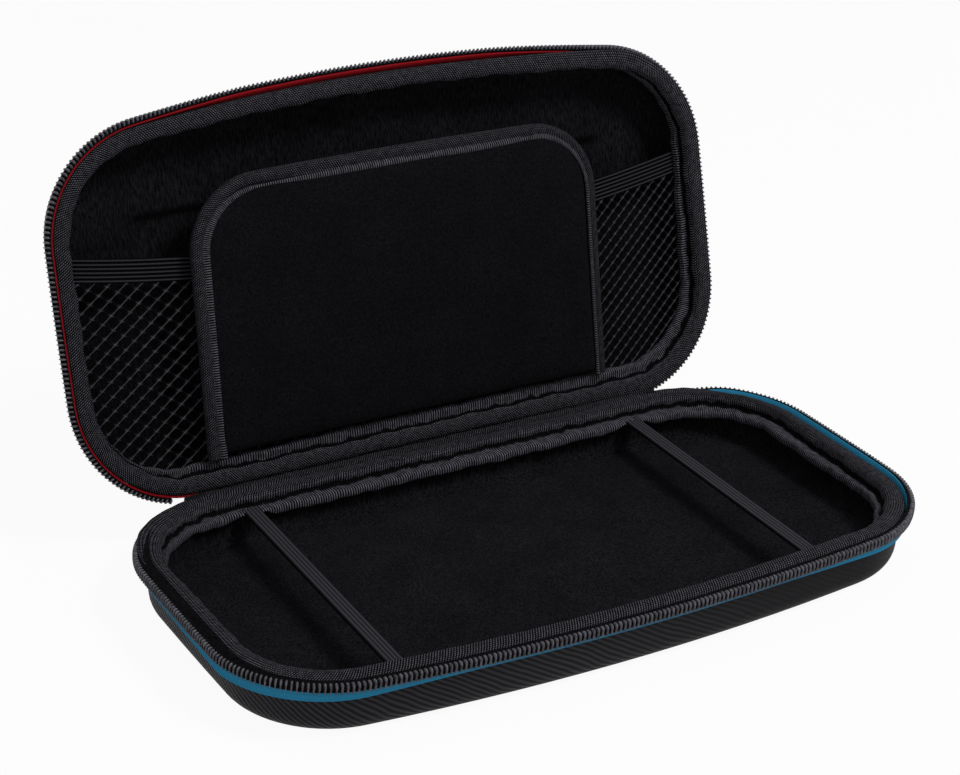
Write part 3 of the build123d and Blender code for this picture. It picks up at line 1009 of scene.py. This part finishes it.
pad_side, pad_far, pad_round = FLAP_SIDE - PAD_INSET, FLAP_FAR + PAD_INSET, FLAP_ROUND - PAD_INSET
rounded = pad_far + pad_round * (1 - np.cos(np.linspace(0, pi / 2, 12)))
lines = np.concatenate([rounded, np.linspace(pad_far + pad_round, FLAP_NEAR, 30)[1:]])
lift = np.maximum(pad_far + pad_round - lines, 0)
half = pad_side - pad_round + np.sqrt(np.maximum(pad_round**2 - lift**2, 0))
spots = np.zeros((len(lines), 61, 3))
spots[:, :, 0] = half[:, None] * np.linspace(-1, 1, 61)
spots[:, :, 1] = lines[:, None]
spots[:, :, :2] = askew(spots)
spots[:, :, 2] = PARTING + 1.55
pad = lay_grid("flap_pad_cloth", spots)
border = pad.vertex_groups.new(name="sewn edge")
rows, columns = spots.shape[:2]
point = np.arange(rows * columns)
at_edge = np.isin(point % columns, (0, columns - 1)) | np.isin(point // columns, (0, rows - 1))
rim_points = point[at_edge].tolist()
pad.data.flip_normals()
thicken(pad, 2.4)
face = [v.index for v in pad.data.vertices if v.co.z < (PARTING + 1.6) * MM]
back = [v.index for v in pad.data.vertices if v.co.z >= (PARTING + 1.6) * MM]
border.add(rim_points + back, 1.0, "REPLACE")
before = np.array([v.co for v in pad.data.vertices])
pick(pad)
cloth = pad.modifiers.new("swell", "CLOTH")
cloth.settings.quality = 6
cloth.settings.use_pressure = True
cloth.settings.uniform_pressure_force = 4.0
cloth.settings.effector_weights.gravity = 0
cloth.settings.vertex_group_mass = border.name
cloth.settings.tension_stiffness = 12
cloth.settings.compression_stiffness = 12
for step in range(1, 21):
    bpy.context.scene.frame_set(step)
apply_all(pad)
bpy.context.scene.frame_set(1)
after = np.array([v.co for v in pad.data.vertices])
moved = after - before
length = np.linalg.norm(moved, axis=1, keepdims=True)
CAP = 1.1 * MM
capped = before + moved * np.minimum(1, CAP / np.maximum(length, 1e-9))
pad.data.vertices.foreach_set("co", capped.astype(np.float32).ravel())
print("flap pad swelled by at most", round(float(length.max()) / MM, 2), "mm before the cap")
finer = pad.modifiers.new("finer", "SUBSURF")
finer.levels = finer.render_levels = 1
apply_all(pad)
to_lid(pad, mirrored=False)
finish_piece(pad, flap_pile, "lid", "lining_cloth", "flap_panel")

# %% [markdown]
# The flap's tape has the same weave as the rim's. It is rolled round the pad's edge, and the far side of the
# stitching stands up as a narrow ladder of ribs.

# %% Flap binding
FLAP_TAPE = np.array(
    [
        (0.7, 4.6), (0.15, 3.9), (0.0, 2.7), (0.15, 1.7), (0.6, 1.0), (1.4, 0.68), (2.2, 0.72), (2.9, 0.98),
        (3.5, 1.4), (3.9, 1.62), (4.2, 1.45), (4.6, 1.0), (5.2, 0.85), (5.8, 0.95), (6.15, 1.3), (6.0, 1.7),
        (4.9, 1.9), (4.8, 4.2), (4.2, 4.65), (2.6, 4.75), (0.7, 4.6),
    ]
)
FLAP_VALLEY = 9
flap_tape = woven(
    "flap binding", grey(0.0008), grey(0.15), 0.9, 0.7, 0.22,
    Ladder_from=section_run(FLAP_TAPE)[FLAP_VALLEY, 0],
)
bend = np.linspace(0, pi / 2, 28)
turn_x = -FLAP_SIDE + FLAP_ROUND * (1 - np.cos(bend))
turn_y = FLAP_FAR + FLAP_ROUND * (1 - np.sin(bend))
out_left = np.stack([-np.cos(bend), -np.sin(bend)], 1)
side_y = np.linspace(FLAP_NEAR, FLAP_FAR + FLAP_ROUND, 50)[:-1]
top_x = np.linspace(-FLAP_SIDE + FLAP_ROUND, 0, 50)[1:]
left_x = np.concatenate([np.full(49, -FLAP_SIDE), turn_x, top_x])
left_y = np.concatenate([side_y, turn_y, np.full(49, FLAP_FAR)])
left_stops = np.stack([left_x, left_y], 1)
left_outs = np.concatenate([np.tile([-1.0, 0.0], (49, 1)), out_left, np.tile([0.0, -1.0], (49, 1))])
flap_stops = askew(np.concatenate([left_stops, left_stops[-2::-1] * [-1, 1]]))
flap_outs = np.concatenate([left_outs, left_outs[-2::-1] * [-1, 1]])
flap_run = np.concatenate([[0], np.cumsum(np.linalg.norm(np.diff(flap_stops, axis=0), axis=1))])
wide = np.interp(flap_run[-1] - flap_run, [70, 130], [0.65, 1.1])
level = flap_stops - (FLAP_TAPE[:, :1] * wide)[..., None] * flap_outs
tall = np.broadcast_to(PARTING + FLAP_TAPE[:, 1:], (len(FLAP_TAPE), len(flap_run)))
flap_edge = lay_grid("flap_binding_tape", np.dstack([level, tall]), flap_run, section_run(FLAP_TAPE))
close(flap_edge, ends=True)
to_lid(flap_edge, mirrored=False)
finish_piece(flap_edge, flap_tape, "lid", "binding_tape", "flap_binding")

# %% [markdown]
# ## Hinge gusset
# A strip of the same woven tape joins the halves along the back. It is sewn to both rims and rolls up in a
# soft fold between the two bindings. It is laid in one fixed shape, from the base's edge to the lid's.

# %% Gusset
GUSSET_HALF = 92.0
GUSSET = np.array(
    [
        (65.3, 16.0), (65.25, 17.8), (65.7, 19.4), (66.8, 20.5), (68.3, 21.0), (69.8, 20.8), (71.2, 20.0),
        (72.3, 18.8), (73.2, 17.6), (74.4, 17.0), (76.0, 16.9), (78.5, 16.4), (82.0, 15.5),
    ]
)
gusset_tape = woven("gusset tape", grey(0.0008), grey(0.11), 0.95, 0.7, 0.2)
along = np.linspace(-GUSSET_HALF, GUSSET_HALF, 160)
spots = np.zeros((len(GUSSET), len(along), 3))
spots[:, :, 0] = along
spots[:, :, 1] = GUSSET[:, :1]
spots[:, :, 2] = GUSSET[:, 1:]
fold = np.sin(np.linspace(0, pi, len(GUSSET)))[:, None]
draw = np.random.default_rng(41)
for count, size in ((5, 0.25), (11, 0.2), (23, 0.12)):
    spots[:, :, 2] += fold * size * np.sin(2 * pi * (count * along / 180 + draw.random()))
gusset = lay_grid("hinge_gusset_cloth", spots, along, section_run(GUSSET))
thicken(gusset, 0.6, -1.0)
finish_piece(gusset, gusset_tape, None, "binding_tape", "hinge_gusset")
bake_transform(gusset)

# %% [markdown]
# ## Studio
# A plain pale floor and soft light from the right. The floor shows white to the camera and keeps a faint
# shadow; the lamps stay at a plain level, so that black cloth stays black.

# %% Floor, world, lamps
clear()
bpy.ops.mesh.primitive_plane_add(size=8, location=(0, 0, -0.0002))
floor = bpy.context.object
floor.name = "floor"
floor_paint = bpy.data.materials.new("pale floor")
floor_paint.use_nodes = True
tree = floor_paint.node_tree
tree.nodes.clear()
light_path = put(tree, "ShaderNodeLightPath")
seen = sums(tree, "MAXIMUM", light_path.outputs["Is Camera Ray"], light_path.outputs["Is Glossy Ray"])
seen = sums(tree, "MAXIMUM", seen, light_path.outputs["Is Transmission Ray"])
diffuse = put(tree, "ShaderNodeBsdfDiffuse", {"Color": (0.85, 0.85, 0.85, 1)})
glow = put(tree, "ShaderNodeEmission", {"Color": (1, 1, 1, 1), "Strength": 1.0})
glow_share = sums(tree, "MULTIPLY", seen, 0.94)
mix = put(tree, "ShaderNodeMixShader", {0: glow_share, 1: diffuse.outputs[0], 2: glow.outputs[0]})
surface = put(tree, "ShaderNodeOutputMaterial", {"Surface": mix.outputs[0]})
floor.data.materials.append(floor_paint)

world = bpy.data.worlds.new("studio")
bpy.context.scene.world = world
world.use_nodes = True
tree = world.node_tree
tree.nodes.clear()
light_path = put(tree, "ShaderNodeLightPath")
seen = sums(tree, "MAXIMUM", light_path.outputs["Is Camera Ray"], light_path.outputs["Is Glossy Ray"])
seen = sums(tree, "MAXIMUM", seen, light_path.outputs["Is Transmission Ray"])
strength = spread(tree, seen, 0, 1, 0.25, 1.0)
sky = put(tree, "ShaderNodeBackground", {"Color": (1, 1, 1, 1), "Strength": strength})
surface = put(tree, "ShaderNodeOutputWorld", {"Surface": sky.outputs[0]})


def lamp(name, place, size, power):
    clear()
    bpy.ops.object.light_add(type="AREA", location=place)
    light = bpy.context.object
    light.name = name
    light.data.shape = "SQUARE"
    light.data.size = size
    light.data.energy = power
    aim = Vector((0.0, 0.04, 0.05)) - Vector(place)
    light.rotation_mode = "QUATERNION"
    light.rotation_quaternion = aim.to_track_quat("-Z", "Y")


lamp("key", (0.54, -0.7, 1.25), 0.4, 11.0)
lamp("fill", (-0.9, -0.9, 0.7), 0.9, 1.4)
lamp("top", (0.0, 0.3, 1.4), 0.9, 2.2)
bpy.context.scene.view_settings.view_transform = "Standard"

# %% [markdown]
# ## Camera
# The camera stands where the photograph was taken from, found by matching the case's outline.

# %% Camera
clear()
bpy.ops.object.camera_add()
camera = bpy.context.object
camera.data.sensor_fit = "HORIZONTAL"
camera.data.sensor_width = 36.0
camera.data.lens = 91.825
camera.data.clip_start, camera.data.clip_end = 0.01, 20.0
right = (0.867701, -0.496581, 0.022398)
up = (0.193632, 0.379155, 0.904847)
back = (-0.457822, -0.7808, 0.425147)
camera.matrix_world = Matrix(
    [
        (right[0], up[0], back[0], -0.39056),
        (right[1], up[1], back[1], -0.62805),
        (right[2], up[2], back[2], 0.41781),
        (0, 0, 0, 1),
    ]
)
bpy.context.scene.camera = camera
print("camera at", [round(v, 3) for v in camera.location])

# %% [markdown]
# ## Tidying up
# The helper line goes.

# %% Tidy up
bpy.data.objects.remove(zip_line)
bpy.context.view_layer.update()
